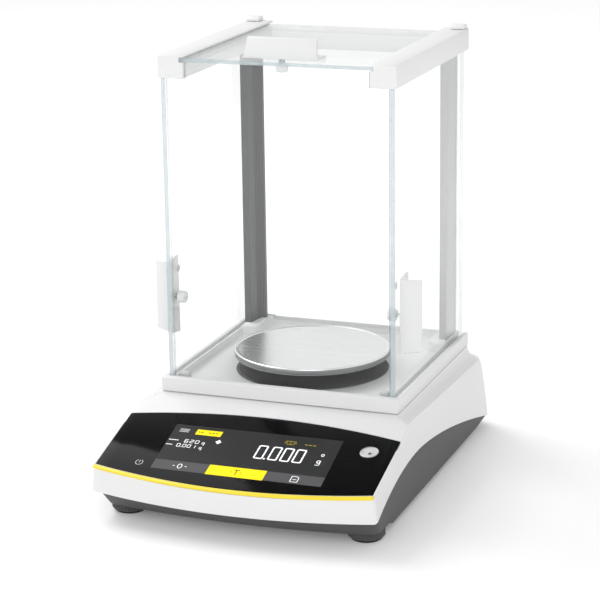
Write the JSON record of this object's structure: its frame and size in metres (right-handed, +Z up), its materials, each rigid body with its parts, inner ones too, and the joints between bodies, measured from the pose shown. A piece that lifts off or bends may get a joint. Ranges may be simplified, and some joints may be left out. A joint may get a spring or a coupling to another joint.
{
  "type": "analytical balance",
  "caption": "Bench laboratory balance with a round pan inside a glass draft shield with sliding doors, a sloped touch panel and levelling feet.",
  "frame": {"origin": "on the bench, under the middle of the balance's footprint", "axes": "+X to the user's right, +Y from the panel to the rear, +Z up"},
  "size_m": [0.2188, 0.315, 0.3385],
  "materials": {
    "white_plastic": "fine satin moulded white ABS",
    "dark_plastic": "fine-grained dark grey moulding",
    "clear_glass": "clear float glass with a faint green cut edge",
    "steel": "brushed stainless steel",
    "aluminium": "brushed and anodised extrusion",
    "rubber": "soft black rubber",
    "panel_glass": "glossy black cover lens",
    "display": "colour display behind the lens",
    "yellow_trim": "satin yellow trim",
    "circuit_board": "green solder mask",
    "socket_plastic": "black nylon",
    "grey_plastic": "grey moulding"
  },
  "bodies": {
    "housing": {"top_cover": "white_plastic", "shield_tray": "white_plastic", "rail_left": "white_plastic", "rail_right": "white_plastic", "rail_cap_left": "white_plastic", "rail_cap_right": "white_plastic", "rear_crossbeam": "white_plastic", "base_tub": "dark_plastic", "pan_shield_disc": "dark_plastic", "front_pane": "clear_glass", "rear_pane": "clear_glass", "level_vial": "steel", "data_socket": "steel", "load_receiver": "steel", "force_coil_housing": "steel", "housing_screw_1": "steel", "housing_screw_2": "steel", "housing_screw_3": "steel", "housing_screw_4": "steel", "pillar_left": "aluminium", "pillar_right": "aluminium", "load_cell": "aluminium", "load_cell_mount": "aluminium", "rear_foot_left": "rubber", "rear_foot_right": "rubber", "control_panel": "panel_glass", "display_module": "display", "trim_strip": "yellow_trim", "main_board": "circuit_board", "power_inlet": "socket_plastic", "pane_clip_left": "grey_plastic", "pane_clip_right": "grey_plastic"},
    "left_door": {"side_door_left": "clear_glass", "side_door_handle_left": "white_plastic", "side_door_knob_left": "white_plastic"},
    "right_door": {"side_door_right": "clear_glass", "side_door_handle_right": "white_plastic", "side_door_knob_right": "white_plastic"},
    "roof_door": {"top_door": "clear_glass", "top_door_handle": "white_plastic", "top_door_knob": "white_plastic"},
    "pan": {"weighing_pan": "steel", "pan_support": "dark_plastic"},
    "left_foot": {"foot_pad_left": "rubber"},
    "left_foot_wheel": {"foot_wheel_left": "dark_plastic"},
    "right_foot": {"foot_pad_right": "rubber"},
    "right_foot_wheel": {"foot_wheel_right": "dark_plastic"}
  },
  "joints": [
    {"name": "left_door_slide", "type": "slide", "parent": "housing", "child": "left_door", "axis": [0, 1, 0], "range_m": [0, 0.125]},
    {"name": "right_door_slide", "type": "slide", "parent": "housing", "child": "right_door", "axis": [0, 1, 0], "range_m": [0, 0.125]},
    {"name": "top_door_slide", "type": "slide", "parent": "housing", "child": "roof_door", "axis": [0, 1, 0], "range_m": [0, 0.125]},
    {"name": "pan_lift", "type": "slide", "parent": "housing", "child": "pan", "axis": [0, 0, 1], "range_m": [0, 0.06]},
    {"name": "left_foot_travel", "type": "slide", "parent": "housing", "child": "left_foot", "axis": [0, 0, -1], "range_m": [-0.0004, 0.0025]},
    {"name": "left_foot_turn", "type": "hinge", "parent": "left_foot", "child": "left_foot_wheel", "pos_m": [-0.0914, -0.116, 0.005], "axis": [0, 0, 1], "range_deg": [-117, 722]},
    {"name": "right_foot_travel", "type": "slide", "parent": "housing", "child": "right_foot", "axis": [0, 0, -1], "range_m": [-0.0004, 0.0025]},
    {"name": "right_foot_turn", "type": "hinge", "parent": "right_foot", "child": "right_foot_wheel", "pos_m": [0.0914, -0.116, 0.005], "axis": [0, 0, 1], "range_deg": [-117, 722]}
  ],
  "couplings": [
    {"joint": "left_foot_turn", "follows": "left_foot_travel", "rad_per_m": 5026.5},
    {"joint": "right_foot_turn", "follows": "right_foot_travel", "rad_per_m": 5026.5}
  ]
}
